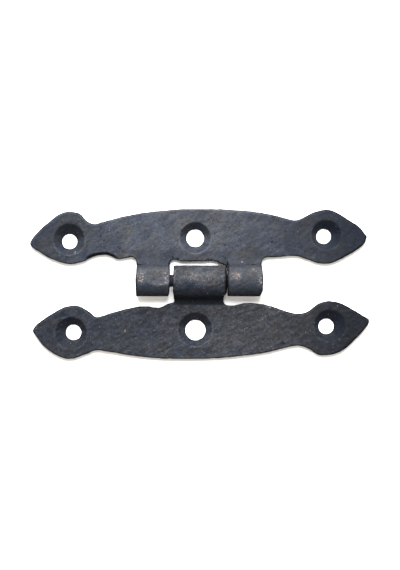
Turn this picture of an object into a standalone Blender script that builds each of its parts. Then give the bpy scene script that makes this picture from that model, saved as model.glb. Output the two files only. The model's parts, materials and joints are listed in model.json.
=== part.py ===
"""Forged iron H hinge with spearhead leaves, in three pieces.

Two leaves lie flat with their backs on the plane z = 0 and their fronts towards +Z. Each leaf is one
bar: a flat plate whose inner edge is rolled over a pin. frame_leaf has the two outer knuckles and
the pin riveted into them. door_leaf has the centre knuckle and swings on the pin, whose axis runs
along X. Dimensions are in millimetres and MM turns them into metres. The outlines are hand forged,
so the leaves are near mirror images of each other but not exact ones.
"""
import math

import bmesh
import bpy
from mathutils import Matrix, Vector

MM = 0.001

# Driving dimensions, in millimetres.
PLATE_THICKNESS = 2.3
KNUCKLE_RADIUS = 4.1
BORE_RADIUS = 1.9
AXIS_Y = 0.74
AXIS_Z = KNUCKLE_RADIUS           # the knuckles rest on the same plane as the backs of the leaves
ROOT_FILLET = 2.0                 # front fillet where a leaf rises into its knuckles
SEAM_GAP = 0.3                    # slit that the rolled end leaves at the back

# A knuckle leaves the flat plate at this distance from the pin's axis.
FILLET_Z = PLATE_THICKNESS + ROOT_FILLET
FILLET_REACH = KNUCKLE_RADIUS + ROOT_FILLET
ROOT_U = math.sqrt(FILLET_REACH ** 2 - (FILLET_Z - AXIS_Z) ** 2)

# The plate's edge is set back behind each knuckle, whose flat tongue overlaps it.
PLATE_SETBACK = 0.5
TONGUE_LENGTH = 1.5
SIDE_OVERLAP = 0.25
PLATE_U = ROOT_U + PLATE_SETBACK
TONGUE_U = ROOT_U + TONGUE_LENGTH

# Pin: a shank with a shallow domed head peened into the mouth of each outer bore.
PIN_RADIUS = 1.6
PIN_END_LEFT = -16.85
PIN_END_RIGHT = 16.5
PIN_HEAD_RADIUS = 2.1
PIN_HEAD_LENGTH = 0.5
PIN_DOME = 0.3                    # how far a dome stands out
PIN_DOME_SWEEP = 65.0             # degrees of arc from a dome's rim to its flat crown
BORE_MOUTH_RADIUS = 2.5
BORE_MOUTH_DEPTH = 0.65

# The right end of the centre knuckle is rounded all the way round, to pass the web beside it.
CENTRE_END = 7.1
CENTRE_ROUND = 1.4
WEB_CLEARANCE = 0.35

# Screw holes: hole centre and diameter, then countersink centre and diameter. Both were drilled by
# hand, so they are not quite concentric.
COUNTERSINK_DEPTH = 1.7
FRAME_HOLES = (
    ((-34.6, 11.2), 4.1, (-34.7, 11.8), 8.6),
    ((-1.3, 12.1), 4.8, (-1.25, 12.2), 8.5),
    ((32.85, 12.55), 4.1, (33.5, 12.9), 8.2),
)
DOOR_HOLES = (
    ((-33.6, -12.9), 4.2, (-34.2, -13.1), 8.7),
    ((-1.2, -12.3), 5.5, (-1.25, -12.1), 9.3),
    ((33.5, -11.3), 4.25, (34.4, -11.1), 8.7),
)

# How finely curves are divided.
CURVE_STEP = 0.8                  # longest straight piece of an outline curve
KNUCKLE_STEPS = 40
BORE_STEPS = 28
FILLET_STEPS = 6
SLIT_STEPS = 3
WEB_STEPS = 5
HOLE_STEPS = 32
PIN_STEPS = 28
PIN_DOME_STEPS = 3
SHARP_ANGLE = 35.0
SAME_POINT = 0.03                 # outline points nearer than this are one point

# Cutters reach this far outside what they cut.
OVERSHOOT = 1.0
PRISM_LOW = -OVERSHOOT
PRISM_HIGH = 2 * KNUCKLE_RADIUS + OVERSHOOT

# Outline curves, seen from the front, each a smooth line through hand-set points. Curves meet at
# corners, and go round each leaf clockwise.
FRAME_OUTER_EDGE = (
    (-44.7, 9.9), (-45.05, 10.7), (-43.4, 13.2), (-39.2, 17.0), (-36.4, 18.75), (-32.4, 18.75),
    (-29.8, 16.4), (-28.0, 15.8), (-24.4, 16.7), (-20.1, 17.8), (-12.7, 19.0), (-1.1, 19.8),
    (11.7, 19.3), (19.1, 18.2), (23.3, 17.1), (25.6, 16.8), (27.9, 17.7), (30.3, 18.9),
    (33.6, 19.6), (36.4, 18.7), (39.2, 17.0), (42.4, 14.8), (44.3, 12.4),
)
FRAME_RIGHT_INNER_EDGE = (
    (44.3, 12.4), (43.2, 10.3), (39.2, 7.6), (35.3, 5.6), (31.8, 5.35), (28.6, 6.4), (25.6, 7.4),
    (20.1, 7.1), (17.4, 7.0), (16.4, 6.2),
)
FRAME_LEFT_INNER_EDGE = (
    (-16.9, 6.1), (-17.7, 7.05), (-19.1, 7.0), (-21.8, 6.45), (-24.4, 7.65), (-28.0, 7.35),
    (-31.2, 5.75), (-35.0, 5.2), (-39.2, 6.5), (-43.4, 9.0), (-44.7, 9.9),
)
SLOT_EDGE = (
    (5.7, 5.19), (4.4, 5.85), (3.0, 6.1), (-1.0, 5.95), (-5.0, 5.95), (-6.4, 6.4), (-7.4, 6.35),
    (-8.1, 5.4),
)
RIGHT_KNUCKLE_OUTER_END = ((16.4, 6.2), (16.35, 4.8), (16.65, 1.5), (16.55, -2.0))
RIGHT_KNUCKLE_CHAMFER_FOOT = (15.3, -4.4)
RIGHT_KNUCKLE_INNER_X = 7.45
LEFT_KNUCKLE_INNER_END = ((-8.1, 5.4), (-7.95, 2.4), (-8.0, -0.5), (-8.4, -4.4))
LEFT_KNUCKLE_OUTER_END = ((-16.9, -4.4), (-16.95, 0.0), (-16.75, 4.8), (-16.9, 6.1))

DOOR_LEFT_INNER_EDGE = (
    (-44.4, -12.5), (-43.4, -11.0), (-39.2, -8.0), (-35.5, -6.15), (-32.4, -5.95), (-29.7, -7.4),
    (-27.5, -8.9), (-23.3, -7.7), (-17.0, -6.25), (-13.8, -6.1), (-10.8, -6.45), (-8.7, -5.5),
    (-6.85, -4.9),
)
DOOR_RIGHT_INNER_EDGE = (
    (6.2, -4.7), (6.7, -5.6), (8.5, -5.85), (12.7, -5.2), (18.0, -5.75), (22.3, -7.2),
    (26.0, -8.1), (28.6, -7.4), (31.8, -5.2), (35.0, -4.6), (39.2, -6.15), (43.4, -8.7),
    (44.75, -9.45),
)
DOOR_OUTER_EDGE = (
    (44.75, -9.45), (44.85, -10.2), (43.4, -12.3), (39.2, -16.5), (36.6, -18.25), (31.8, -18.9),
    (28.6, -17.1), (25.4, -16.4), (18.0, -18.1), (12.7, -18.9), (5.3, -19.65), (-4.0, -19.95),
    (-13.8, -19.5), (-24.4, -18.0), (-27.6, -17.6), (-30.7, -18.8), (-34.4, -19.9),
    (-37.6, -19.1), (-41.3, -16.6), (-44.4, -12.5),
)
CENTRE_KNUCKLE_LEFT_END = ((-6.85, -4.9), (-7.1, -1.8), (-7.1, 1.0), (-6.9, 6.0))
CENTRE_KNUCKLE_RIGHT_FOOT = ((CENTRE_END, -1.6), (6.9, -2.6), (6.25, -3.7), (6.2, -4.7))

FRAME_COLOUR = (0.10, 0.106, 0.128, 1.0)
DOOR_COLOUR = (0.075, 0.08, 0.098, 1.0)
PIN_COLOUR = (0.12, 0.12, 0.13, 1.0)
LEAF_ROUGHNESS = 0.55
LEAF_METALLIC = 0.6
PIN_ROUGHNESS = 0.4
PIN_METALLIC = 0.8


def clear_scene():
    for obj in list(bpy.data.objects):
        bpy.data.objects.remove(obj, do_unlink=True)


def material(name, colour, roughness, metallic):
    mat = bpy.data.materials.new(name)
    mat.use_nodes = True
    shader = mat.node_tree.nodes["Principled BSDF"]
    shader.inputs["Base Color"].default_value = colour
    shader.inputs["Roughness"].default_value = roughness
    shader.inputs["Metallic"].default_value = metallic
    mat.diffuse_color = colour
    return mat


def arc(centre, radius, start_deg, end_deg, steps):
    """Points of an arc, both ends included."""
    points = []
    for i in range(steps + 1):
        angle = math.radians(start_deg + (end_deg - start_deg) * i / steps)
        points.append((centre[0] + radius * math.cos(angle), centre[1] + radius * math.sin(angle)))
    return points


def circle(centre, radius, steps):
    return arc(centre, radius, 0, 360, steps)[:-1]


def smooth(points):
    """A cubic Hermite curve through the points, both ends included."""
    tangents = []
    for i, point in enumerate(points):
        before = points[max(i - 1, 0)]
        after = points[min(i + 1, len(points) - 1)]
        span = math.dist(before, point) + math.dist(point, after)
        tangents.append(((after[0] - before[0]) / span, (after[1] - before[1]) / span))
    curve = []
    for start, end, leave, arrive in zip(points, points[1:], tangents, tangents[1:]):
        length = math.dist(start, end)
        steps = max(1, math.ceil(length / CURVE_STEP))
        for step in range(steps):
            t = step / steps
            end_share = 3 * t ** 2 - 2 * t ** 3
            leave_share = (t ** 3 - 2 * t ** 2 + t) * length
            arrive_share = (t ** 3 - t ** 2) * length
            curve.append(tuple(start[k] + end_share * (end[k] - start[k])
                               + leave_share * leave[k] + arrive_share * arrive[k]
                               for k in range(2)))
    return curve + [points[-1]]


def outline(*curves):
    """One closed outline from curves that follow each other, without the points they share."""
    points = []
    for curve in curves:
        for point in curve:
            if not points or math.dist(points[-1], point) > SAME_POINT:
                points.append(point)
    if math.dist(points[0], points[-1]) <= SAME_POINT:
        points.pop()
    return points


def mesh_object(name, verts, faces):
    """A closed mesh object, from points in millimetres, with its faces turned outwards."""
    mesh = bpy.data.meshes.new(name)
    mesh.from_pydata([tuple(value * MM for value in vert) for vert in verts], [], faces)
    bm = bmesh.new()
    bm.from_mesh(mesh)
    bmesh.ops.recalc_face_normals(bm, faces=bm.faces)
    bm.to_mesh(mesh)
    bm.free()
    obj = bpy.data.objects.new(name, mesh)
    bpy.context.scene.collection.objects.link(obj)
    return obj


def loft(name, stacks):
    """Solids through stacks of rings; each has a flat cap at both ends and equal rings between."""
    verts, faces = [], []
    for rings in stacks:
        count = len(rings[0])
        base = len(verts)
        top = base + count * (len(rings) - 1)
        for ring in rings:
            verts += ring
        faces.append(tuple(range(base, base + count)))
        faces.append(tuple(range(top, top + count)))
        for low in range(base, top, count):
            for i in range(count):
                j = (i + 1) % count
                faces.append((low + i, low + j, low + count + j, low + count + i))
    return mesh_object(name, verts, faces)


def prism(name, outlines, low, high):
    """Flat outlines pushed along Z."""
    return loft(name, [[[(x, y, z) for x, y in points] for z in (low, high)]
                       for points in outlines])


def turned(name, profiles, steps):
    """Solids turned about the pin's axis, each from (x, radius) pairs."""
    stacks = []
    for profile in profiles:
        stacks.append([[(x, y, z) for y, z in circle((AXIS_Y, AXIS_Z), radius, steps)]
                       for x, radius in profile])
    return loft(name, stacks)


def boolean(obj, operation, tool):
    tool.hide_render = True
    tool.display_type = "WIRE"
    modifier = obj.modifiers.new(operation.title(), "BOOLEAN")
    modifier.operation = operation
    modifier.solver = "EXACT"
    modifier.object = tool


def apply_modifiers(obj):
    """Turn the object's cuts and joins into its own mesh, and drop the tools."""
    depsgraph = bpy.context.evaluated_depsgraph_get()
    mesh = bpy.data.meshes.new_from_object(obj.evaluated_get(depsgraph))
    tools = [modifier.object for modifier in obj.modifiers]
    obj.modifiers.clear()
    obj.data = mesh
    for tool in tools:
        bpy.data.objects.remove(tool, do_unlink=True)


def finish(obj, mat):
    """The piece's material, and smooth shading that keeps its edges crisp."""
    obj.data.materials.clear()
    obj.data.materials.append(mat)
    obj.data.shade_smooth()
    obj.data.set_sharp_from_angle(angle=math.radians(SHARP_ANGLE))


def set_origin(obj, point):
    """Put the object's origin at a point in millimetres, and leave its shape where it is."""
    place = Vector(point) * MM
    obj.data.transform(Matrix.Translation(-place))
    obj.location = place


def rolled_section():
    """Cross-section of a knuckle and its flat tongue, as (u, z).

    u is the distance from the pin's axis towards the leaf. The front rises from the plate through a
    fillet and runs on over the knuckle, down its far side and under the pin. The end stops short of
    the bar's own back, which leaves a slit there.
    """
    fillet = (ROOT_U, FILLET_Z)
    axis = (0.0, AXIS_Z)
    tilt = math.degrees(math.atan2(FILLET_Z - AXIS_Z, ROOT_U))
    back_radius = FILLET_Z
    slit_radius = back_radius + SEAM_GAP

    def crossing(knuckle_radius, bend_radius):
        """Angles, about the axis and about the fillet, where two circles cross below the axis."""
        along = (knuckle_radius ** 2 - bend_radius ** 2 + FILLET_REACH ** 2) / (2 * FILLET_REACH)
        down = math.sqrt(knuckle_radius ** 2 - along ** 2)
        about_axis = 360 + tilt - math.degrees(math.atan2(down, along))
        about_fillet = 180 + tilt + math.degrees(math.atan2(down, FILLET_REACH - along))
        return about_axis, about_fillet

    outer_end, lip_outer = crossing(KNUCKLE_RADIUS, slit_radius)
    bore_end, lip_inner = crossing(BORE_RADIUS, slit_radius)
    bore_start, back_start = crossing(BORE_RADIUS, back_radius)
    reach = TONGUE_U + OVERSHOOT
    section = [(reach, PLATE_THICKNESS)]
    section += arc(fillet, ROOT_FILLET, 270, 180 + tilt, FILLET_STEPS)
    section += arc(axis, KNUCKLE_RADIUS, tilt, outer_end, KNUCKLE_STEPS)[1:]
    section += arc(fillet, slit_radius, lip_outer, lip_inner, SLIT_STEPS)[1:]
    section += arc(axis, BORE_RADIUS, bore_end, bore_start - 360, BORE_STEPS)[1:]
    section += arc(fillet, back_radius, back_start, 270, FILLET_STEPS)[1:]
    section += [(reach, 0.0)]
    return section


def rolled_knuckles(name, side, outlines):
    """Knuckles of one leaf, cut from the rolled section; the leaf is towards +Y for side = 1."""
    ends = []
    for points in outlines:
        xs = [x for x, y in points]
        ends.append((min(xs) - OVERSHOOT, max(xs) + OVERSHOOT))
    stacks = [[[(x, AXIS_Y + side * u, z) for u, z in rolled_section()] for x in pair]
              for pair in ends]
    knuckles = loft(name, stacks)
    boolean(knuckles, "INTERSECT", prism(name + "_outline", outlines, PRISM_LOW, PRISM_HIGH))
    apply_modifiers(knuckles)
    return knuckles


def frame_outlines():
    """The plate's outline and those of the two knuckles."""
    plate_y = AXIS_Y + PLATE_U
    tongue_y = AXIS_Y + TONGUE_U
    front_y = LEFT_KNUCKLE_OUTER_END[0][1]
    web_centre = (CENTRE_END - CENTRE_ROUND, AXIS_Y + KNUCKLE_RADIUS - CENTRE_ROUND)
    web = arc(web_centre, CENTRE_ROUND + WEB_CLEARANCE, 0, 90, WEB_STEPS)
    right_corner = FRAME_RIGHT_INNER_EDGE[-1]
    left_corner = FRAME_LEFT_INNER_EDGE[0]
    slot_corner = SLOT_EDGE[-1]
    web_root_x = RIGHT_KNUCKLE_INNER_X + SIDE_OVERLAP
    plate = outline(
        smooth(FRAME_OUTER_EDGE),
        smooth(FRAME_RIGHT_INNER_EDGE),
        [(right_corner[0] - SIDE_OVERLAP, right_corner[1])],
        [(right_corner[0] - SIDE_OVERLAP, plate_y), (web_root_x, plate_y)],
        [(web_root_x, web[0][1])],
        web[:-1],
        smooth(SLOT_EDGE),
        [(slot_corner[0] - SIDE_OVERLAP, slot_corner[1])],
        [(slot_corner[0] - SIDE_OVERLAP, plate_y), (left_corner[0] + SIDE_OVERLAP, plate_y)],
        [(left_corner[0] + SIDE_OVERLAP, left_corner[1])],
        smooth(FRAME_LEFT_INNER_EDGE),
    )
    right_knuckle = outline(
        [(RIGHT_KNUCKLE_INNER_X, tongue_y), (right_corner[0], tongue_y)],
        smooth(RIGHT_KNUCKLE_OUTER_END),
        [RIGHT_KNUCKLE_CHAMFER_FOOT, (RIGHT_KNUCKLE_INNER_X, front_y)],
    )
    left_knuckle = outline(
        [(left_corner[0], tongue_y), (slot_corner[0], tongue_y)],
        smooth(LEFT_KNUCKLE_INNER_END),
        smooth(LEFT_KNUCKLE_OUTER_END),
    )
    return plate, (left_knuckle, right_knuckle)


def door_outlines():
    """The plate's outline and that of the centre knuckle."""
    plate_y = AXIS_Y - PLATE_U
    tongue_y = AXIS_Y - TONGUE_U
    left_corner = DOOR_LEFT_INNER_EDGE[-1]
    right_corner = DOOR_RIGHT_INNER_EDGE[0]
    plate = outline(
        smooth(DOOR_LEFT_INNER_EDGE),
        [(left_corner[0] + SIDE_OVERLAP, left_corner[1])],
        [(left_corner[0] + SIDE_OVERLAP, plate_y), (right_corner[0] - SIDE_OVERLAP, plate_y)],
        [(right_corner[0] - SIDE_OVERLAP, right_corner[1])],
        smooth(DOOR_RIGHT_INNER_EDGE),
        smooth(DOOR_OUTER_EDGE),
    )
    knuckle = outline(
        [(left_corner[0], tongue_y)],
        smooth(CENTRE_KNUCKLE_LEFT_END),
        [(CENTRE_END, CENTRE_KNUCKLE_LEFT_END[-1][1])],
        smooth(CENTRE_KNUCKLE_RIGHT_FOOT),
        [(right_corner[0], tongue_y)],
    )
    return plate, (knuckle,)


def screw_holes(name, holes):
    """One cutter for a leaf: each hole is a straight drilling and the cone of its countersink."""
    stacks = []
    for hole_centre, hole_size, sink_centre, sink_size in holes:
        growth = (sink_size - hole_size) / 2 / COUNTERSINK_DEPTH * OVERSHOOT
        drift = [(s - h) / COUNTERSINK_DEPTH * OVERSHOOT for s, h in zip(sink_centre, hole_centre)]
        above = (sink_centre[0] + drift[0], sink_centre[1] + drift[1])
        levels = (
            (hole_centre, hole_size / 2, -OVERSHOOT),
            (hole_centre, hole_size / 2, PLATE_THICKNESS - COUNTERSINK_DEPTH),
            (above, sink_size / 2 + growth, PLATE_THICKNESS + OVERSHOOT),
        )
        stacks.append([[(x, y, z) for x, y in circle(centre, radius, HOLE_STEPS)]
                       for centre, radius, z in levels])
    return loft(name, stacks)


def bore_mouths(name):
    """The cones that open the outer ends of the frame leaf's bores for the peened pin."""
    slope = (BORE_MOUTH_RADIUS - BORE_RADIUS) / BORE_MOUTH_DEPTH
    profiles = []
    for end_x, direction in ((PIN_END_LEFT, -1), (PIN_END_RIGHT, 1)):
        inside = end_x - direction * (BORE_MOUTH_DEPTH + OVERSHOOT)
        outside = end_x + direction * OVERSHOOT
        profiles.append(((inside, BORE_RADIUS - slope * OVERSHOOT),
                         (outside, BORE_MOUTH_RADIUS + slope * OVERSHOOT)))
    return turned(name, profiles, KNUCKLE_STEPS)


def knuckle_end_ring(name):
    """A ring that rounds the centre knuckle's right end."""
    centre = (CENTRE_END - CENTRE_ROUND, KNUCKLE_RADIUS - CENTRE_ROUND)
    rounding = arc(centre, CENTRE_ROUND, 90, 0, WEB_STEPS)
    outside = KNUCKLE_RADIUS + OVERSHOOT
    beyond = CENTRE_END + OVERSHOOT
    section = [(rounding[0][0], outside), *rounding, (beyond, rounding[-1][1]), (beyond, outside)]
    count = len(section)
    verts, faces = [], []
    for y, z in circle((0.0, 0.0), 1.0, KNUCKLE_STEPS):
        verts += [(x, AXIS_Y + radius * y, AXIS_Z + radius * z) for x, radius in section]
    for ring in range(KNUCKLE_STEPS):
        low = ring * count
        high = (ring + 1) % KNUCKLE_STEPS * count
        for i in range(count):
            j = (i + 1) % count
            faces.append((low + i, low + j, high + j, high + i))
    return mesh_object(name, verts, faces)


def frame_leaf():
    """The leaf with the two outer knuckles."""
    plate_outline, knuckle_outlines = frame_outlines()
    leaf = prism("frame_leaf", (plate_outline,), 0.0, PLATE_THICKNESS)
    boolean(leaf, "UNION", rolled_knuckles("outer_knuckles", 1, knuckle_outlines))
    boolean(leaf, "DIFFERENCE", screw_holes("frame_holes", FRAME_HOLES))
    boolean(leaf, "DIFFERENCE", bore_mouths("bore_mouths"))
    apply_modifiers(leaf)
    finish(leaf, material("frame_leaf_iron", FRAME_COLOUR, LEAF_ROUGHNESS, LEAF_METALLIC))


def door_leaf():
    """The leaf with the centre knuckle, with its origin on the pin's axis."""
    plate_outline, knuckle_outlines = door_outlines()
    leaf = prism("door_leaf", (plate_outline,), 0.0, PLATE_THICKNESS)
    boolean(leaf, "UNION", rolled_knuckles("centre_knuckle", -1, knuckle_outlines))
    boolean(leaf, "DIFFERENCE", screw_holes("door_holes", DOOR_HOLES))
    boolean(leaf, "DIFFERENCE", knuckle_end_ring("centre_knuckle_end"))
    apply_modifiers(leaf)
    finish(leaf, material("door_leaf_iron", DOOR_COLOUR, LEAF_ROUGHNESS, LEAF_METALLIC))
    set_origin(leaf, (0.0, AXIS_Y, AXIS_Z))


def hinge_pin():
    """The riveted pin; it stays with the frame leaf when the door leaf swings."""
    sweep = math.radians(PIN_DOME_SWEEP)

    def head(x, direction):
        """From the shank out to the flat crown of the dome."""
        profile = [(x - direction * PIN_HEAD_LENGTH, PIN_RADIUS), (x, PIN_HEAD_RADIUS)]
        for step in range(1, PIN_DOME_STEPS + 1):
            angle = sweep * step / PIN_DOME_STEPS
            height = PIN_DOME * math.sin(angle) / math.sin(sweep)
            profile.append((x + direction * height, PIN_HEAD_RADIUS * math.cos(angle)))
        return profile

    profile = head(PIN_END_LEFT, -1)[::-1] + head(PIN_END_RIGHT, 1)
    pin = turned("hinge_pin", (profile,), PIN_STEPS)
    finish(pin, material("pin_iron", PIN_COLOUR, PIN_ROUGHNESS, PIN_METALLIC))


clear_scene()
frame_leaf()
door_leaf()
hinge_pin()
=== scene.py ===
import json
import math

import bmesh
import bpy
import numpy as np
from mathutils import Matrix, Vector

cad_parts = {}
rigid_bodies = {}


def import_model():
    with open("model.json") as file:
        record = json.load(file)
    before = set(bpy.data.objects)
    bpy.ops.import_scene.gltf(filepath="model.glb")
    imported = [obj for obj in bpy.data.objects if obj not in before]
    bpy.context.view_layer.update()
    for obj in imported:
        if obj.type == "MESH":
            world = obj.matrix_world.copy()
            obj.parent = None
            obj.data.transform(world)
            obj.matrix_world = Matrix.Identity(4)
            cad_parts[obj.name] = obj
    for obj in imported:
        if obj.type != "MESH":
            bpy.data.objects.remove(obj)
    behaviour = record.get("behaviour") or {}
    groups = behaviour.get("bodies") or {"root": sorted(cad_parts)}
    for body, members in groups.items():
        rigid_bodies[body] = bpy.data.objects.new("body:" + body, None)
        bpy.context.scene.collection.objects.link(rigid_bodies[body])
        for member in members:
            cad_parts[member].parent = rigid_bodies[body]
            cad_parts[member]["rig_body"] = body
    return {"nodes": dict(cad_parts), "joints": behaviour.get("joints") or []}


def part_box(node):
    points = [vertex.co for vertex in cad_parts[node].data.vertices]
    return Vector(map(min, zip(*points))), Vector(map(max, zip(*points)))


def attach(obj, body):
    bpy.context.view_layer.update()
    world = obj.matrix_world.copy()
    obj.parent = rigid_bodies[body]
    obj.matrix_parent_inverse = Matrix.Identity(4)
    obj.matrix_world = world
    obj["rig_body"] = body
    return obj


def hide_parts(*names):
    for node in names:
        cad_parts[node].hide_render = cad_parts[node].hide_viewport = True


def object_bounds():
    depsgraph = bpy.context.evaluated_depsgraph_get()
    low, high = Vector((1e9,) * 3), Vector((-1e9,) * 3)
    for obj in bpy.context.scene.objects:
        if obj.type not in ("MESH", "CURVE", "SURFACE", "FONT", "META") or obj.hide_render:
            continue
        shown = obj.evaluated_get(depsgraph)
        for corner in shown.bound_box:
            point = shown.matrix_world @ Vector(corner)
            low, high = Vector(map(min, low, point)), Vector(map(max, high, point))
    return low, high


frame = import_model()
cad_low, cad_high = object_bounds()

MM = 0.001
HINGE = frame["joints"][0]
AXIS_Y = HINGE["pos_m"][1] / MM
AXIS_Z = HINGE["pos_m"][2] / MM
KNUCKLE_RADIUS = AXIS_Z - cad_low.z / MM
PLATE_FRONT_Z = 2.3

# Fine meshes.
WELD_M = 1e-7
VOXEL = 0.196
SOFTEN_STEPS = 3
BORE_CLEAR = 2.2                  # nearer than this to the pin's axis the surface is left true
BORE_BLEND = 0.5

# Hammer work. Layers of lumps are (size, height) pairs.
SWELLS = ((9.0, 0.060), (4.0, 0.036))
DENT = 0.10
DENT_SPACING = 6.5
GRAINS = ((1.4, 0.5), (0.62, 1.0))            # heights here are shares of the leaf's own grain
NICKS = ((2.3, 0.035), (0.9, 0.063))
PIT_DEPTH = 0.10
PIT_SPACING = 1.6
PIT_SHARE = 0.3
RAGGED_MORE = 2.5                 # how much more nicked the most ragged stretch is
RAGGED_HALF = (2.2, 1.2)
GROW = 0.07                       # undoes what rounding takes off the outline
EDGE_DROP = 0.16                  # how far the front of a leaf is rounded down at its edges
EDGE_ROUNDS = 3
BEVEL_DROP = 0.55
BEVEL_ROUNDS = 20

# Where the parts of a leaf lie, as distances from the pin's axis towards the leaf's plate.
RISE = (2.0, 3.2)                 # the knuckle's tube turns into the plate
RISE_FOOT = (6.5, 7.5)
VALLEY = (4.05, 4.7)              # the crease between a knuckle and the plate
VALLEY_FOOT = (6.1, 6.7)
ROOT = (2.6, 5.0)                 # the plate beside the knuckles
ROOT_FOOT = (7.2, 9.2)
RISE_ABOVE_Z = 2.0

# Painted light and shade: tones are (place, tone) stops, across a leaf by how far its surface faces +Y,
# towards the lamps; faces turned away are painted darker and the knuckles' crests lighter.
TONE_TOP = 1.5
PAINTED_LIGHT_ACROSS = ((-1.0, 0.62), (-0.5, 0.62), (-0.3, 0.75), (0.0, 1.0), (1.0, 1.0))
KNUCKLE_PAINTED_LIGHT_ACROSS = ((-1.0, 0.18), (-0.85, 0.24), (-0.6, 0.41), (-0.3, 0.6), (0.0, 0.80), (0.35, 1.06),
                       (0.7, 1.06), (1.0, 0.95))
OUTLINE_FROM = (0.86, 0.92)       # the right ends of the leaves get a painted dark outline, part of the painted shade on edges
# how dark the painted shade on sideways faces and edge rims is
SIDE_SHADE_TONE = 0.18
# how dark the painted shade in hollows, pits, the crease valley and the countersinks is
HOLLOW_SHADE_TONE = 0.28
# how much lighter worn ridges and the countersinks' rims are, the rims partly a painted highlight
RIDGE_WEAR_AND_HIGHLIGHT_TONE = 1.8
STREAK_TURN = 25                  # degrees from +X
STREAK_STRETCH = 1.6

BLACK = (0.0030, 0.0036, 0.0052, 1)
GREY = (0.0430, 0.0432, 0.0460, 1)
BARE = (0.036, 0.033, 0.031, 1)
RUST = (0.060, 0.045, 0.039, 1)
BRIGHT = (0.150, 0.135, 0.123, 1)
# a bluish tint, in patches and as a painted bluish shade on faces turned from the lamps
BLUE_AND_SHADE_TINT = (0.76, 0.91, 1.16)
BROWNED = (1.07, 1.0, 0.90)
IRON_SPECULAR = 0.06
IRON_ROUGHNESS = (0.52, 0.72)

# The two leaves. Knuckles are (start, end) shares, and holes (share x, share y, countersink radius).
FRAME_KNUCKLES = ((0.315, 0.413), (0.588, 0.688))
FRAME_HOLES = ((0.1158, 0.6544, 4.30), (0.4902, 0.6716, 4.25), (0.8791, 0.7018, 4.10))
# tone stops along each leaf fall towards its ends, most at the right: a painted falloff of the lamps'
# light; the door leaf's are lower all along
FRAME_TONE = ((0.0, 0.37), (0.07, 0.46), (0.2, 0.66), (0.3, 0.84), (0.4, 1.0), (0.58, 0.98),
              (0.69, 0.74), (0.79, 0.45), (0.93, 0.18), (1.0, 0.12))
FRAME_BLUE_TINT = ((0.0, 0.9), (0.2, 0.6), (0.35, 0.5), (0.6, 0.35), (0.8, 0.7), (0.9, 1.0))
DOOR_KNUCKLES = ((0.425, 0.575),)
DOOR_HOLES = ((0.1143, 0.2764, 4.35), (0.4835, 0.3167, 4.65), (0.8829, 0.3571, 4.35))
DOOR_TONE = ((0.0, 0.22), (0.07, 0.28), (0.2, 0.34), (0.3, 0.36), (0.4, 0.43), (0.6, 0.58), (0.69, 0.51),
             (0.79, 0.31), (0.94, 0.05), (1.0, 0.04))
DOOR_BLUE_TINT = ((0.0, 0.9), (0.15, 0.65), (0.3, 0.5), (0.45, 0.3), (0.55, 0.12), (0.8, 0.0), (1.0, 0.1))

# Pin.
PIN_AROUND = 72
PIN_STEP = 0.25
SHANK_SHARE = 0.76                # of the head's radius
DOME_REACH = 0.3
DOME_STEPS = 8
HEAD_LENGTH = 0.5
PEENED_LENGTH = 0.9
PEEN_MARKS = ((0.9, 0.03, 71), (0.4, 0.02, 72))       # size, height, seed
PEEN_SHRINK = 0.05
DRAWN_LINES = (0.7, 0.012, 73)

# Floor.
FLOOR_REACH_M = 2.0
FLOOR_GAP = 0.03
FLOOR_COLOUR = (0.90, 0.88, 0.845, 1)

# Lights.
LIGHT_DISTANCE_M = 0.8
LIGHT_SIZE_M = 0.36
LIGHT_TURN = 2                    # degrees from +Y towards -X
LIGHT_COLOUR = (0.93, 0.975, 1.06)
LIGHTS = (("high_key", 65, 15.0), ("low_key", 33, 13.0))      # name, elevation in degrees, watts
FILL_COLOUR = (1.0, 0.97, 0.93, 1.0)
FILL_LOW = 0.10
FILL_HIGH = 1.5
HORIZON = 1.4                     # a narrow pale band all round, behind low views
HORIZON_EDGE = (0.08, 0.16)

# Camera.
LENS = 150.0
SENSOR = 36.0
VIEW_LONG = 150.9934              # what the long side of the view takes in at the plates' front
CAMERA_Y = -0.36
CLIP_M = (0.01, 20.0)


# ---------------------------------------------------------------- noise on whole arrays of points

def hashed(cell, seed):
    """A fixed number from 0 to 1 for each cell of a lattice."""
    x, y, z = (cell[:, k].astype(np.int64) for k in range(3))
    h = (x * 73856093) ^ (y * 19349663) ^ (z * 83492791) ^ (seed * 2654435761)
    for factor in (1274126177, 2246822519, 3266489917):
        h = ((h ^ ((h & 0xFFFFFFFF) >> 15)) * factor) & 0xFFFFFFFF
    return ((h >> 7) & 0xFFFFFF) / float(0xFFFFFF)


def lumps(points, size, seed):
    """Smooth noise from -1 to 1 whose lumps are about size across."""
    scaled = points / size
    base = np.floor(scaled)
    part = scaled - base
    part = part * part * (3 - 2 * part)
    total = np.zeros(len(points))
    for corner in np.ndindex(2, 2, 2):
        share = np.prod(np.where(corner, part, 1 - part), axis=1)
        total += share * hashed(base + corner, seed)
    return total * 2 - 1


def layered(points, layers, seed):
    """Lumps of several sizes on top of each other, each with the next seed."""
    return sum(height * lumps(points, size, seed + k) for k, (size, height) in enumerate(layers))


def spots(points, spacing, seed):
    """Distance from each point to the nearest scattered spot, and that spot's own number."""
    scaled = points / spacing
    base = np.floor(scaled)
    nearest = np.full(len(points), 9.0)
    number = np.zeros(len(points))
    for step in np.ndindex(3, 3, 3):
        cell = base + step - 1
        spot = cell + np.stack([hashed(cell, seed + k) for k in range(3)], axis=1)
        distance = np.linalg.norm(scaled - spot, axis=1)
        closer = distance < nearest
        number = np.where(closer, hashed(cell, seed + 3), number)
        nearest = np.minimum(nearest, distance)
    return nearest * spacing, number


def fade(value, start, end):
    """0 at start, 1 at end, and a smooth change between them."""
    t = np.clip((value - start) / (end - start), 0, 1)
    return t * t * (3 - 2 * t)


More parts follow.
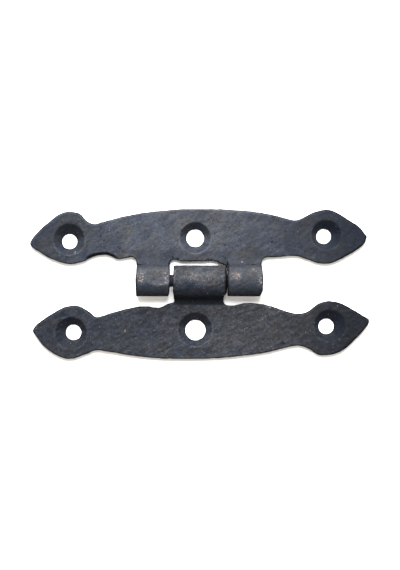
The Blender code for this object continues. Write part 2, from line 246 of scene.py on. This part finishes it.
def between(value, rise, fall):
    """0, up to 1 over the rise, and back down to 0 over the fall."""
    return fade(value, *rise) * (1 - fade(value, *fall))


def blend(a, b, share):
    return a + share * (b - a)


def strongest(*masks):
    return np.maximum.reduce(masks)


def along(value, stops):
    """Straight lines through (value, result) pairs."""
    return np.interp(value, [stop[0] for stop in stops], [stop[1] for stop in stops])


# ---------------------------------------------------------------- meshes as arrays

def link(obj):
    bpy.context.scene.collection.objects.link(obj)
    return obj


class Skin:
    """A mesh object's points, in millimetres, with what is needed to rework and paint them."""

    def __init__(self, obj):
        self.obj = obj
        self.points = self.read("vertices", "co", 3, np.float32) / MM
        self.edges = self.read("edges", "vertices", 2, np.int32)
        self.fresh()

    def read(self, what, field, width, kind):
        items = getattr(self.obj.data, what)
        values = np.zeros(len(items) * width, kind)
        items.foreach_get(field, values)
        return values.reshape(-1, width)

    def fresh(self):
        """Put the points into the mesh and read the new normals."""
        self.obj.data.vertices.foreach_set("co", (self.points * MM).astype(np.float32).ravel())
        self.obj.data.update()
        self.normals = self.read("vertices", "normal", 3, np.float32)

    def push(self, distance):
        self.points = self.points + self.normals * distance[:, None]

    def spread(self, values, rounds):
        """Each point's value averaged with its neighbours', several times over."""
        for _ in range(rounds):
            total = values.astype(float)
            count = np.ones(len(values))
            for a, b in ((0, 1), (1, 0)):
                total += np.bincount(self.edges[:, a], values[self.edges[:, b]], len(values))
                count += np.bincount(self.edges[:, a], minlength=len(values))
            values = total / count
        return values

    def bulge(self, rounds):
        """How far each point stands out from its neighbourhood, above 0 on edges."""
        smooth = np.stack([self.spread(self.points[:, k], rounds) for k in range(3)], axis=1)
        return ((self.points - smooth) * self.normals).sum(axis=1)

    def from_axis(self):
        return np.hypot(self.points[:, 1] - AXIS_Y, self.points[:, 2] - AXIS_Z)

    def keep_inside(self, low, high):
        self.points = np.clip(self.points, low, high)
        self.fresh()

    def paint(self, **masks):
        """Store each mask, a number or one value per point, under its own name."""
        for name, values in masks.items():
            layer = self.obj.data.attributes.new(name, "FLOAT", "POINT")
            values = np.broadcast_to(np.clip(values, 0, 1), len(self.points))
            layer.data.foreach_set("value", values.astype(np.float32))

    def hand_over(self, node, slot, mat):
        """Take the CAD node's place."""
        obj = self.obj
        obj.data.materials.clear()
        obj.data.materials.append(mat)
        obj.data.shade_smooth()
        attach(obj, frame["nodes"][node]["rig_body"])
        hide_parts(node)


def fine_copy(node, name):
    """An evenly divided copy of a CAD node's solid, with its edges rounded off."""
    bm = bmesh.new()
    bm.from_mesh(frame["nodes"][node].data)
    bmesh.ops.remove_doubles(bm, verts=bm.verts, dist=WELD_M)
    mesh = bpy.data.meshes.new(name)
    bm.to_mesh(mesh)
    bm.free()
    rough = link(bpy.data.objects.new(name + "_rough", mesh))
    divide = rough.modifiers.new("Divide", "REMESH")
    divide.mode = "VOXEL"
    divide.voxel_size = VOXEL * MM
    soften = rough.modifiers.new("Soften", "SMOOTH")
    soften.factor = 0.5
    soften.iterations = SOFTEN_STEPS
    evaluated = rough.evaluated_get(bpy.context.evaluated_depsgraph_get())
    fine = bpy.data.meshes.new_from_object(evaluated)
    bpy.data.objects.remove(rough, do_unlink=True)
    return link(bpy.data.objects.new(name, fine))


# ---------------------------------------------------------------- forging

class Leaf:
    """A leaf's fine mesh, what is done to it and how it is painted.

    grain is the height of its fine unevenness, and ragged the middle of the most ragged stretch of
    its outline.
    """

    def __init__(self, node, seed, grain, knuckles, holes, ragged):
        self.node = node
        self.seed = seed
        self.grain = grain
        self.holes = holes
        self.ragged = ragged
        self.skin = Skin(fine_copy(node, "forged_" + node))
        self.low, self.high = (np.array(corner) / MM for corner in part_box(node))
        self.side = 1 if self.low[1] + self.high[1] > 2 * AXIS_Y else -1
        self.knuckles = [(self.x(start), self.x(end)) for start, end in knuckles]

    def x(self, share):
        return self.low[0] + share * (self.high[0] - self.low[0])

    def y(self, share):
        return self.low[1] + share * (self.high[1] - self.low[1])

    def share_x(self):
        return (self.skin.points[:, 0] - self.low[0]) / (self.high[0] - self.low[0])

    def patch(self, share_x, share_y, half_x, half_y, middle=0.35):
        """1 in the middle of an oval patch of the front, 0 outside it."""
        away_x = (self.skin.points[:, 0] - self.x(share_x)) / half_x
        away_y = (self.skin.points[:, 1] - self.y(share_y)) / half_y
        front = fade(self.skin.normals[:, 2], -0.4, 0.0)
        return front * (1 - fade(np.hypot(away_x, away_y), middle, 1.0))

    def patches(self, *places):
        """The strongest of several patches, each (strength, share x, share y, half x, half y)."""
        return strongest(*(strength * self.patch(*place) for strength, *place in places))

    def towards_leaf(self):
        """Distance from the pin's axis, measured flat towards this leaf's plate."""
        return (self.skin.points[:, 1] - AXIS_Y) * self.side

    def beside_knuckles(self):
        x = self.skin.points[:, 0]
        return strongest(*(between(x, (start - 1.0, start + 0.3), (end - 0.3, end + 1.0))
                           for start, end in self.knuckles))

    def on_knuckle(self):
        return 1 - fade(self.towards_leaf(), KNUCKLE_RADIUS - 0.1, KNUCKLE_RADIUS + 0.5)

    def from_hole(self, share_x, share_y):
        """Distance from a screw hole's middle, measured flat."""
        points = self.skin.points
        return np.hypot(points[:, 0] - self.x(share_x), points[:, 1] - self.y(share_y))

    # Each of these reworks the surface.

    def close_seam(self, share_x, reach):
        """Move a knuckle's end face along the pin, towards the knuckle beside it."""
        skin = self.skin
        near = 1 - fade(np.abs(skin.points[:, 0] - self.x(share_x)), 0.3, 0.8)
        facing = fade(skin.normals[:, 0] * np.sign(reach), 0.2, 0.8)
        from_axis = skin.from_axis()
        ring = (from_axis > BORE_CLEAR) & (from_axis < KNUCKLE_RADIUS + 2.4)
        skin.points[:, 0] += reach * near * facing * ring
        skin.fresh()

    def flatten(self, share_x, half_x, tilt_deg, depth, soft=0.1):
        """Hammer a flat on a knuckle, facing tilt_deg from straight up towards +Y."""
        skin = self.skin
        tilt = math.radians(tilt_deg)
        up = np.array([0.0, math.sin(tilt), math.cos(tilt)])
        from_axis = skin.points - (0, AXIS_Y, AXIS_Z)
        away = np.abs(skin.points[:, 0] - self.x(share_x))
        over = from_axis @ up - (KNUCKLE_RADIUS - depth) - depth * fade(away, 0.2 * half_x, half_x)
        over = np.where(over < soft, np.clip(over + soft, 0, None) ** 2 / (4 * soft), over)
        near = skin.from_axis() < KNUCKLE_RADIUS + 0.05
        skin.points = skin.points - up * (over * near)[:, None]
        skin.fresh()

    def round_edges(self, drop, rounds, where=1.0, facing_y=0, full=0.5):
        """Round the front down towards its edges; facing_y picks edges that face one way."""
        skin = self.skin
        wall = (np.abs(skin.normals[:, 2]) < 0.4) & (skin.from_axis() > KNUCKLE_RADIUS + 0.3)
        if facing_y:
            wall = wall & (skin.normals[:, 1] * facing_y > 0.3)
        near = fade(skin.spread(wall, rounds), 0.02, full)
        rounded = near * fade(skin.normals[:, 2], 0.0, 0.5) * where
        skin.points[:, 2] -= drop * rounded
        skin.fresh()
        return rounded

    def hammer(self):
        skin = self.skin
        wall = 1 - fade(np.abs(skin.normals[:, 2]), 0.2, 0.6)
        skin.push(GROW * wall * fade(self.towards_leaf(), KNUCKLE_RADIUS + 1.2, KNUCKLE_RADIUS + 2.2))
        skin.fresh()
        points, seed = skin.points, self.seed
        free = fade(skin.from_axis(), BORE_CLEAR, BORE_CLEAR + BORE_BLEND)
        front = np.clip(skin.normals[:, 2], 0, 1)
        wall = 1 - fade(np.abs(skin.normals[:, 2]), 0.3, 0.8)
        swell = layered(points, SWELLS, seed)
        away, number = spots(points * (1, 1, 0.4), DENT_SPACING, seed + 2)
        dents = -DENT * (0.3 + 0.7 * number) * (1 - fade(away, 0, 0.75 * DENT_SPACING))
        grain = self.grain * layered(points, GRAINS, seed + 6)
        away, number = spots(points, PIT_SPACING, seed + 8)
        pits = -PIT_DEPTH * (number < PIT_SHARE) * (1 - fade(away, 0.1, 0.25 + number))
        ragged = 1 + RAGGED_MORE * self.patch(*self.ragged, *RAGGED_HALF)
        nicks = (1 - self.on_knuckle()) * ragged * layered(points * (1, 1, 0.25), NICKS, seed + 12)
        skin.push(free * ((swell + dents) * front + grain * (0.4 + 0.6 * front) + pits + nicks * wall))

    def pit(self, share_x, share_y, radius, depth):
        """Sink one larger pit, and give where it is."""
        hole = self.patch(share_x, share_y, radius, radius, 0.2) * (self.skin.normals[:, 2] > 0.3)
        self.skin.push(-depth * hole)
        return hole

    # These say what is where, for the paint.

    def rings(self):
        """1 on the worn rims of the countersinks, painted lighter as wear and as a painted highlight."""
        flat = self.skin.normals[:, 2] > 0.6
        ring = strongest(*(1 - fade(np.abs(self.from_hole(share_x, share_y) - radius), 0.05, 0.32)
                           for share_x, share_y, radius in self.holes))
        return ring * flat * (0.35 + 0.65 * fade(lumps(self.skin.points, 1.6, self.seed + 30), -0.3, 0.4))

    def sinks(self):
        """1 inside the countersinks."""
        return strongest(*(fade(radius - self.from_hole(share_x, share_y), 0.1, 0.4)
                           for share_x, share_y, radius in self.holes))

    def rise(self):
        """1 beside a knuckle, above the plate's front."""
        return self.beside_knuckles() * (self.skin.points[:, 2] > RISE_ABOVE_Z)

    def sides(self, crease_shade):
        """1 on what faces sideways and on the rims of the edges, which get painted shade."""
        skin, on_knuckle, rise = self.skin, self.on_knuckle(), self.rise()
        up = np.abs(skin.normals[:, 2])
        side = blend(1 - fade(up, 0.35, 0.80), 1 - fade(up, 0.10, 0.40), on_knuckle)
        side = side * (1 - rise * between(self.towards_leaf(), RISE, RISE_FOOT))
        end_face = (np.abs(skin.normals[:, 0]) > 0.75) & (on_knuckle > 0.5)
        wall = (up < 0.4) & (on_knuckle < 0.5) | end_face
        rim = fade(skin.spread(wall, 6), 0.03, 0.25) * fade(up, 0.05, 0.3)
        outline = fade(skin.spread(wall, 9), 0.02, 0.12) * fade(skin.normals[:, 2], 0.0, 0.3)
        outline = outline * fade(self.share_x(), *OUTLINE_FROM)
        return strongest(0.6 * side * (1 - 0.6 * crease_shade * on_knuckle), rim, outline)

    def tones(self, tone, knuckle_tone, root_tone):
        """How light the colour is painted: by place along the leaf, falling towards the ends as a painted
        falloff of the lamps' light, and with painted light and shade by which way the surface faces.
        """
        x, ny = self.skin.points[:, 0], self.skin.normals[:, 1]
        on_knuckle = self.on_knuckle()
        painted_light_by_facing = blend(along(ny, PAINTED_LIGHT_ACROSS), along(ny, KNUCKLE_PAINTED_LIGHT_ACROSS), on_knuckle)
        painted_light_by_facing = painted_light_by_facing * blend(1, knuckle_tone, on_knuckle)
        from_left = x - self.knuckles[0][0]
        from_right = self.knuckles[-1][1] - x
        root = between(self.towards_leaf(), ROOT, ROOT_FOOT)
        root = root * fade(from_left, -1.5, 0.5) * fade(from_right, -1.5, 0.5)
        root = root * (1 - 0.35 * fade(from_right, 9.0, 7.0))
        return along(self.share_x(), tone) * painted_light_by_facing * (1 - (1 - root_tone) * root)

    def paint(self, *, tone, blue_and_shade_tint, knuckle_tone, root_tone, crease_shade, hollows, shade, **as_given):
        """Paint what the iron reads.

        tone and the blue tint are stops along the leaf. knuckle_tone and root_tone scale the tone on the
        knuckles and on the plate beside them, and the crease value is how dark the painted shade in the
        valley between them is, on the door leaf the centre knuckle's painted shadow on its neck.
        """
        skin = self.skin
        ny, nz = skin.normals[:, 1], skin.normals[:, 2]
        on_knuckle, rise, sinks = self.on_knuckle(), self.rise(), self.sinks()
        valley_shade = crease_shade * rise * between(self.towards_leaf(), VALLEY, VALLEY_FOOT)
        bulge = skin.bulge(3)
        lit = fade(ny, -0.3, 0.1)
        skin.paint(
            # painted shade: hollows, pits and the valley are darkened, the countersinks more where they
            # face away from the lamps; on the door leaf the valley holds the centre knuckle's painted
            # shadow
            hollow=strongest(fade(-bulge, 0.006, 0.035) * (1 - 0.9 * rise), valley_shade, hollows,
                             sinks * (0.3 + 0.5 * fade(-ny, 0.0, 0.4))),
            # lighter on worn ridges and on the countersinks' rims, the rims partly a painted highlight
            ridge=strongest(fade(bulge, 0.012, 0.04) * fade(nz, 0.6, 0.9), self.rings()),
            # painted shade on sideways faces, edge rims, the lower bevel and the valley
            side=strongest(self.sides(crease_shade), shade, 0.5 * valley_shade),
            # the tone holds painted light and shade, by which way the surface faces and falling along the
            # leaf
            tone=self.tones(tone, knuckle_tone, root_tone) / TONE_TOP,
            # blue tint in patches along the leaf, and a bluish painted shade on the knuckles' sides
            # turned from the lamps, in the valley and in the countersinks; less on the knuckles' lit
            # crests
            blue_and_shade_tint=(along(self.share_x(), blue_and_shade_tint) * (1 - 0.5 * on_knuckle * lit)
                   + strongest(on_knuckle * (1 - lit), valley_shade, sinks)),
            **as_given)


# ---------------------------------------------------------------- material

class Nodes:
    """A short way to write nodes: each call makes one node and gives its output."""

    def __init__(self, tree):
        self.tree = tree
        self.coords = tree.nodes.new("ShaderNodeTexCoord")
        self.mm = None

    def put(self, socket, value):
        if isinstance(value, bpy.types.NodeSocket):
            self.tree.links.new(value, socket)
        else:
            socket.default_value = value

    def vector(self, operation, a, b=None, scale=None):
        node = self.tree.nodes.new("ShaderNodeVectorMath")
        node.operation = operation
        self.put(node.inputs[0], a)
        if b is not None:
            self.put(node.inputs[1], b)
        if scale is not None:
            self.put(node.inputs["Scale"], scale)
        return node.outputs[0]

    def moved(self, shift):
        """Coordinates in millimetres, moved so that each texture has its own stretch of noise."""
        if self.mm is None:
            self.mm = self.vector("SCALE", self.coords.outputs["Object"], scale=1 / MM)
        return self.vector("ADD", self.mm, (shift, 0.7 * shift, 1.3 * shift))

    def streaked(self, shift):
        """Coordinates drawn out along a slanting direction, as by hammering."""
        node = self.tree.nodes.new("ShaderNodeMapping")
        node.vector_type = "TEXTURE"
        node.inputs["Rotation"].default_value = (0, 0, math.radians(STREAK_TURN))
        node.inputs["Scale"].default_value = (STREAK_STRETCH, 1 / STREAK_STRETCH, 1)
        self.put(node.inputs["Vector"], self.moved(shift))
        return node.outputs[0]

    def noise(self, size, detail, shift, roughness=0.55, place=None):
        node = self.tree.nodes.new("ShaderNodeTexNoise")
        self.put(node.inputs["Vector"], place or self.moved(shift))
        node.inputs["Scale"].default_value = 1 / size
        node.inputs["Detail"].default_value = detail
        node.inputs["Roughness"].default_value = roughness
        return node.outputs["Fac"]

    def specks(self, spacing, radius, density, shift):
        """Scattered small spots; density is the share of places that hold one."""
        node = self.tree.nodes.new("ShaderNodeTexVoronoi")
        self.put(node.inputs["Vector"], self.moved(shift))
        node.inputs["Scale"].default_value = 1 / spacing
        split = self.tree.nodes.new("ShaderNodeSeparateColor")
        self.put(split.inputs[0], node.outputs["Color"])
        spot = self.ramp(node.outputs["Distance"], 0.6 * radius / spacing, 1.3 * radius / spacing, 1, 0)
        return self.math("MULTIPLY", spot, self.math("LESS_THAN", split.outputs[0], density))

    def attribute(self, name):
        node = self.tree.nodes.new("ShaderNodeAttribute")
        node.attribute_name = name
        return node.outputs["Fac"]

    def ramp(self, value, low, high, to_low=0.0, to_high=1.0, kind="SMOOTHSTEP"):
        node = self.tree.nodes.new("ShaderNodeMapRange")
        node.interpolation_type = kind
        self.put(node.inputs["Value"], value)
        limits = {"From Min": low, "From Max": high, "To Min": to_low, "To Max": to_high}
        for socket, number in limits.items():
            node.inputs[socket].default_value = number
        return node.outputs["Result"]

    def math(self, operation, a, b=None):
        node = self.tree.nodes.new("ShaderNodeMath")
        node.operation = operation
        self.put(node.inputs[0], a)
        if b is not None:
            self.put(node.inputs[1], b)
        return node.outputs[0]

    def times(self, *factors):
        result = factors[0]
        for factor in factors[1:]:
            result = self.math("MULTIPLY", result, factor)
        return result

    def mix(self, factor, a, b):
        node = self.tree.nodes.new("ShaderNodeMix")
        node.data_type = "RGBA"
        self.put(node.inputs[0], factor)
        self.put(node.inputs[6], a)
        self.put(node.inputs[7], b)
        return node.outputs[2]

    def tint(self, colour, factor, tint):
        return self.mix(factor, colour, self.vector("MULTIPLY", colour, tint))

    def bump(self, height, strength, depth, below=None):
        node = self.tree.nodes.new("ShaderNodeBump")
        node.inputs["Strength"].default_value = strength
        node.inputs["Distance"].default_value = depth * MM
        self.put(node.inputs["Height"], height)
        if below is not None:
            self.put(node.inputs["Normal"], below)
        return node.outputs["Normal"]


def iron_tone(n, shift, grain):
    """From 0 where the colour is black to 1 where it is grey, by the tone with its painted light and
    shade, the painted shade of hollows, the lighter ridges and noise; grain is how uneven it is.
    """
    clouds = n.ramp(n.noise(9.0, 2.0, shift), 0.35, 0.65, 0.90, 1.10)
    mottle = n.noise(1.5, 4.0, shift, 0.6, n.streaked(shift + 7))
    fine = n.noise(0.42, 2.0, shift + 13, 0.6)
    dots = n.specks(0.9, 0.2, grain, shift + 5)
    scratches = n.noise(0.8, 3.0, shift, 0.6, n.streaked(shift + 60))
    return n.times(
        n.attribute("tone"),
        clouds,
        n.ramp(mottle, 0.32, 0.68, 1 - 1.3 * grain, 1 + 1.4 * grain),
        n.ramp(fine, 0.30, 0.72, 1 - 1.2 * grain, 1 + 1.4 * grain),
        n.ramp(dots, 0, 1, 1.0, 0.5),
        n.ramp(scratches, 0.31, 0.43, 1 - 1.4 * grain, 1.0),
        n.ramp(n.attribute("hollow"), 0, 1, 1.0, HOLLOW_SHADE_TONE),
        n.ramp(n.attribute("ridge"), 0, 1, 1.0, RIDGE_WEAR_AND_HIGHLIGHT_TONE),
    )


def iron_colour(n, shift, grain):
    """Black to grey by the tone, then blue and brown tints, the blue partly a painted bluish shade, then
    bare, rusty and bright places, the bright specks partly painted glints, and last the painted shade of
    the sides.
    """
    colour = n.mix(iron_tone(n, shift, grain), BLACK, GREY)
    blue_and_shade_tint = n.ramp(n.noise(5.0, 4.0, shift + 31, 0.65), 0.40, 0.60, 0.15, 1.2)
    colour = n.tint(colour, n.times(blue_and_shade_tint, n.attribute("blue_and_shade_tint")), BLUE_AND_SHADE_TINT)
    colour = n.tint(colour, n.ramp(n.noise(4.5, 3.0, shift + 57), 0.52, 0.66), BROWNED)
    worn = n.attribute("worn")
    colour = n.mix(n.times(worn, 0.5), colour, BARE)
    colour = n.mix(n.times(n.attribute("rust"), 0.8), colour, RUST)
    bare_points = n.ramp(n.noise(0.42, 2.0, shift + 21, 0.6), 0.54, 0.64)
    colour = n.mix(n.times(worn, bare_points), colour, BRIGHT)
    # bright specks: bare grains, and painted glints as well
    colour = n.mix(n.times(n.specks(0.6, 0.10, n.attribute("specks"), shift), 0.55), colour, BRIGHT)
    colour = n.mix(n.times(n.attribute("bright"), 0.8), colour, BRIGHT)
    # painted shade: the side mask darkens faces turned sideways, edge rims, the lower bevel and the
    # valley
    return n.vector("SCALE", colour, scale=n.ramp(n.attribute("side"), 0, 1, 1.0, SIDE_SHADE_TONE))


def iron(name, shift, grain):
    """Blackened iron, grey where worn and where painted lit, black in painted shade; shift gives each
    piece its own stretch of every noise.
    """
    mat = bpy.data.materials.new(name)
    mat.use_nodes = True
    shader = mat.node_tree.nodes["Principled BSDF"]
    n = Nodes(mat.node_tree)
    n.put(shader.inputs["Base Color"], iron_colour(n, shift, grain))
    n.put(shader.inputs["Roughness"], n.ramp(n.noise(0.9, 3.0, shift + 3), 0.3, 0.7, *IRON_ROUGHNESS))
    shader.inputs["Specular IOR Level"].default_value = IRON_SPECULAR
    coarse = n.bump(n.noise(0.9, 4.0, shift + 41, 0.65), 0.7, 0.10)
    n.put(shader.inputs["Normal"], n.bump(n.noise(0.42, 3.0, shift + 17, 0.7), 0.95, 0.13, coarse))
    return mat


# ---------------------------------------------------------------- the pieces

def make_frame_leaf():
    leaf = Leaf("frame_leaf", seed=11, grain=0.046, knuckles=FRAME_KNUCKLES, holes=FRAME_HOLES,
                ragged=(0.2076, 0.831))
    leaf.close_seam(0.5877, reach=-0.20)
    leaf.flatten(0.385, half_x=5.2, tilt_deg=14, depth=0.50)
    leaf.flatten(0.62, half_x=2.2, tilt_deg=34, depth=0.10)
    leaf.round_edges(EDGE_DROP, EDGE_ROUNDS)
    neck = leaf.patch(0.21, 0.53, 6.5, 4.0, 0.6)
    bevel = leaf.round_edges(BEVEL_DROP, BEVEL_ROUNDS, where=neck, facing_y=-1, full=0.25)
    leaf.hammer()
    hollows = strongest(
        leaf.pit(0.6285, 0.393, radius=0.55, depth=0.14),
        leaf.pit(0.7176, 0.616, radius=0.60, depth=0.14),
        leaf.pit(0.4236, 0.443, radius=0.45, depth=0.14),
        leaf.pit(0.4382, 0.430, radius=0.45, depth=0.14),
    )
    leaf.skin.keep_inside(leaf.low, leaf.high)
    leaf.paint(
        tone=FRAME_TONE, blue_and_shade_tint=FRAME_BLUE_TINT, knuckle_tone=1.0, root_tone=0.62,
        crease_shade=0.12, hollows=hollows, shade=0.9 * bevel,
        worn=leaf.patches(
            (1.00, 0.331, 0.214, 1.7, 2.7),
            (0.70, 0.404, 0.227, 1.0, 2.8),
            (0.50, 0.382, 0.132, 2.4, 0.6),
            (0.75, 0.681, 0.201, 1.0, 3.2),
            (0.70, 0.664, 0.305, 1.7, 0.9),
            (0.70, 0.612, 0.235, 1.9, 1.5)),
        rust=leaf.patch(0.612, 0.242, 1.1, 1.1),
        specks=0.045 + 0.27 * leaf.patch(0.65, 0.3, 5.0, 4.0) + 0.2 * leaf.patch(0.335, 0.15, 2.5, 3.5),
        bright=leaf.patches(
            (1.0, 0.6285, 0.393, 0.3, 0.3),
            (0.8, 0.1337, 0.502, 0.18, 0.6)))
    leaf.skin.hand_over("frame_leaf", "frame_leaf_iron", iron("blackened_frame_iron", 0, 0.21))


def make_door_leaf():
    leaf = Leaf("door_leaf", seed=47, grain=0.068, knuckles=DOOR_KNUCKLES, holes=DOOR_HOLES,
                ragged=(0.78, 0.33))
    leaf.close_seam(0.5795, reach=0.04)
    leaf.flatten(0.47, half_x=4.0, tilt_deg=22, depth=0.12)
    leaf.flatten(0.54, half_x=3.0, tilt_deg=2, depth=0.10)
    leaf.round_edges(EDGE_DROP, EDGE_ROUNDS)
    leaf.hammer()
    hollows = strongest(
        leaf.pit(0.2749, 0.3025, radius=0.60, depth=0.14),
        leaf.pit(0.744, 0.163, radius=0.70, depth=0.16),
    )
    leaf.skin.keep_inside(leaf.low, leaf.high)
    leaf.paint(
        tone=DOOR_TONE, blue_and_shade_tint=DOOR_BLUE_TINT, knuckle_tone=1.35, root_tone=1.0,
        crease_shade=1.0, hollows=hollows, shade=np.zeros(len(hollows)),
        worn=leaf.patches(
            (0.30, 0.5, 0.869, 6.8, 1.8),
            (0.80, 0.4224, 0.889, 0.35, 2.6)),
        rust=0.0,
        specks=0.10 + 0.15 * leaf.patch(0.5, 0.0, 12.0, 4.0) + 0.12 * leaf.patch(0.66, 0.35, 14.0, 7.0),
        bright=leaf.patches(
            (0.7, 0.2749, 0.3025, 0.3, 0.4),
            (0.7, 0.7048, 0.5547, 0.5, 0.3),
            (0.7, 0.5198, 0.704, 0.2, 0.2)))
    leaf.skin.hand_over("door_leaf", "door_leaf_iron", iron("blackened_door_iron", 50, 0.34))


def pin_profile(start, end, radius):
    """(x, radius) pairs from one crown to the other."""
    def head(x, direction):
        pairs = []
        for step in range(DOME_STEPS + 1):
            angle = math.pi / 2 * (1 - step / DOME_STEPS)
            pairs.append((x + direction * DOME_REACH * math.sin(angle), radius * math.cos(angle)))
        return pairs
    left, right = start + DOME_REACH, end - DOME_REACH
    shank_length = right - left - 2 * HEAD_LENGTH
    steps = round(shank_length / PIN_STEP)
    shank = [(left + HEAD_LENGTH + shank_length * k / steps, SHANK_SHARE * radius)
             for k in range(steps + 1)]
    return head(left, -1)[1:] + shank + head(right, 1)[::-1][:-1]


def turned(profile, low_x, high_x, name):
    """An object with the profile's rings round the pin's axis and a crown at each end."""
    bm = bmesh.new()
    rings = []
    for x, radius in profile:
        ring = []
        for k in range(PIN_AROUND):
            angle = 2 * math.pi * k / PIN_AROUND
            place = (x, AXIS_Y + radius * math.cos(angle), AXIS_Z + radius * math.sin(angle))
            ring.append(bm.verts.new([value * MM for value in place]))
        rings.append(ring)
    for before, after in zip(rings, rings[1:]):
        for k in range(PIN_AROUND):
            following = (k + 1) % PIN_AROUND
            bm.faces.new((before[k], before[following], after[following], after[k]))
    for ring, x in ((rings[0], low_x), (rings[-1], high_x)):
        crown = bm.verts.new((x * MM, AXIS_Y * MM, AXIS_Z * MM))
        for k in range(PIN_AROUND):
            bm.faces.new((ring[k], ring[(k + 1) % PIN_AROUND], crown))
    bmesh.ops.recalc_face_normals(bm, faces=bm.faces)
    mesh = bpy.data.meshes.new(name)
    bm.to_mesh(mesh)
    bm.free()
    return link(bpy.data.objects.new(name, mesh))


def make_pin():
    low, high = (np.array(corner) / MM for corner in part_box("hinge_pin"))
    profile = pin_profile(low[0], high[0], (high[2] - low[2]) / 2)
    skin = Skin(turned(profile, low[0], high[0], "peened_pin"))
    x = skin.points[:, 0]
    ends = fade(np.maximum(low[0] + PEENED_LENGTH - x, x - high[0] + PEENED_LENGTH), 0, 0.4)
    peened = sum(height * lumps(skin.points, size, seed) for size, height, seed in PEEN_MARKS)
    size, height, seed = DRAWN_LINES
    drawn = height * lumps(skin.points * (0.3, 1, 1), size, seed)
    skin.push((peened - PEEN_SHRINK) * ends + drawn * (1 - ends))
    skin.keep_inside(low, high)
    bulge = skin.bulge(2)
    # painted shade: the pin's underside is painted darker
    shaded_underside = fade(-skin.normals[:, 1], -0.2, 0.3)
    skin.paint(
        hollow=fade(-bulge, 0.004, 0.02), ridge=fade(bulge, 0.004, 0.02), side=0.0, blue_and_shade_tint=0.5,
        tone=(0.25 + 0.45 * ends) / TONE_TOP * (1 - 0.25 * shaded_underside),
        worn=0.5 * ends, rust=0.15 * ends, specks=0.1 * ends, bright=0.0)
    skin.hand_over("hinge_pin", "pin_iron", iron("peened_pin_iron", 90, 0.22))


# ---------------------------------------------------------------- floor, light and camera

def make_floor():
    bm = bmesh.new()
    reach = FLOOR_REACH_M
    corners = ((-reach, -reach), (reach, -reach), (reach, reach), (-reach, reach))
    bm.faces.new([bm.verts.new((x, y, 0)) for x, y in corners])
    mesh = bpy.data.meshes.new("floor")
    bm.to_mesh(mesh)
    bm.free()
    floor = link(bpy.data.objects.new("floor", mesh))
    floor.location.z = cad_low.z - FLOOR_GAP * MM
    mat = bpy.data.materials.new("pale_floor")
    mat.use_nodes = True
    shader = mat.node_tree.nodes["Principled BSDF"]
    shader.inputs["Base Color"].default_value = FLOOR_COLOUR
    shader.inputs["Roughness"].default_value = 1.0
    shader.inputs["Specular IOR Level"].default_value = 0.0
    mesh.materials.append(mat)


def make_lights():
    turn = math.radians(LIGHT_TURN)
    for name, elevation_deg, watts in LIGHTS:
        data = bpy.data.lights.new(name, "AREA")
        data.shape = "DISK"
        data.size = LIGHT_SIZE_M
        data.energy = watts
        data.color = LIGHT_COLOUR
        light = link(bpy.data.objects.new(name, data))
        elevation = math.radians(elevation_deg)
        level = math.cos(elevation)
        towards = Vector((-math.sin(turn) * level, math.cos(turn) * level, math.sin(elevation)))
        light.location = towards * LIGHT_DISTANCE_M
        light.rotation_euler = towards.to_track_quat("Z", "Y").to_euler()


def make_world():
    """A soft dome, brighter overhead than low down, with a narrow pale band at the horizon."""
    world = bpy.data.worlds.new("studio")
    world.use_nodes = True
    n = Nodes(world.node_tree)
    split = n.tree.nodes.new("ShaderNodeSeparateXYZ")
    n.put(split.inputs[0], n.coords.outputs["Generated"])
    height = split.outputs["Z"]
    dome = n.ramp(height, 0, 1, FILL_LOW, FILL_HIGH)
    band = n.ramp(n.math("ABSOLUTE", height), *HORIZON_EDGE, HORIZON, 0, "LINEAR")
    background = n.tree.nodes["Background"]
    background.inputs["Color"].default_value = FILL_COLOUR
    n.put(background.inputs["Strength"], n.math("ADD", dome, band))
    bpy.context.scene.world = world


def make_camera():
    """Straight down on the front of the leaves."""
    data = bpy.data.cameras.new("camera")
    data.lens = LENS
    data.sensor_width = SENSOR
    data.clip_start, data.clip_end = CLIP_M
    camera = link(bpy.data.objects.new("camera", data))
    distance = VIEW_LONG * LENS / SENSOR
    camera.location = (0, CAMERA_Y * MM, (PLATE_FRONT_Z + distance) * MM)
    bpy.context.scene.camera = camera
    bpy.context.scene.view_settings.view_transform = "Standard"


make_frame_leaf()
make_door_leaf()
make_pin()
make_floor()
make_lights()
make_world()
make_camera()
